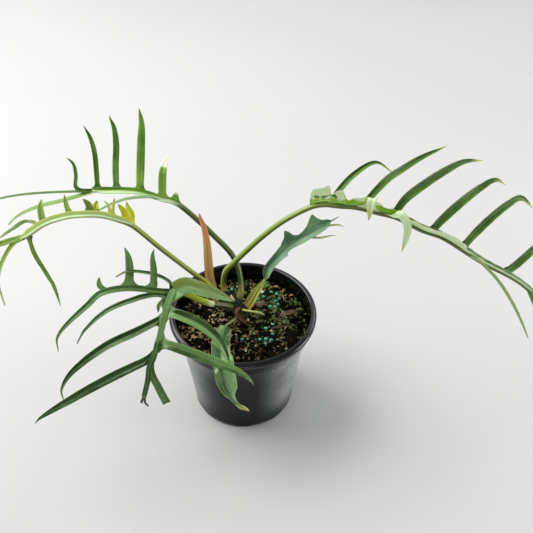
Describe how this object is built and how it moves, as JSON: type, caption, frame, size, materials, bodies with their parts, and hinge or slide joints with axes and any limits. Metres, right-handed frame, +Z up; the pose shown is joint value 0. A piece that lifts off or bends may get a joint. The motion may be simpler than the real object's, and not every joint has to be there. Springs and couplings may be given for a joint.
{
  "type": "potted philodendron tortum",
  "caption": "Young climbing houseplant with arching, comb-cut fronds on long stalks, growing from a short stem in potting mix in a round plastic nursery pot.",
  "frame": {"origin": "middle of the pot's flat base, on the surface it stands on", "axes": "+Z up, X along the spread of the two long arching leaves with the larger one to +X, -Y to the front"},
  "size_m": [0.4498, 0.1769, 0.2014],
  "materials": {
    "black_plastic": "satin moulded",
    "potting_mix": "damp, crumbly",
    "stem_skin": "dull green-brown",
    "leaf_green": "glossy leaf",
    "young_green": "glossy young leaf",
    "blue_green": "satin leaf",
    "dry_sheath": "dry, papery"
  },
  "bodies": {
    "root": {"pot": "black_plastic", "soil": "potting_mix", "stem": "stem_skin", "leaf_right": "leaf_green", "leaf_back_left": "leaf_green", "leaf_low_left": "leaf_green", "leaf_front_left": "young_green", "leaf_small_front": "young_green", "leaf_small_right": "blue_green", "dry_cataphyll": "dry_sheath", "dried_sheath": "dry_sheath"}
  },
  "joints": []
}
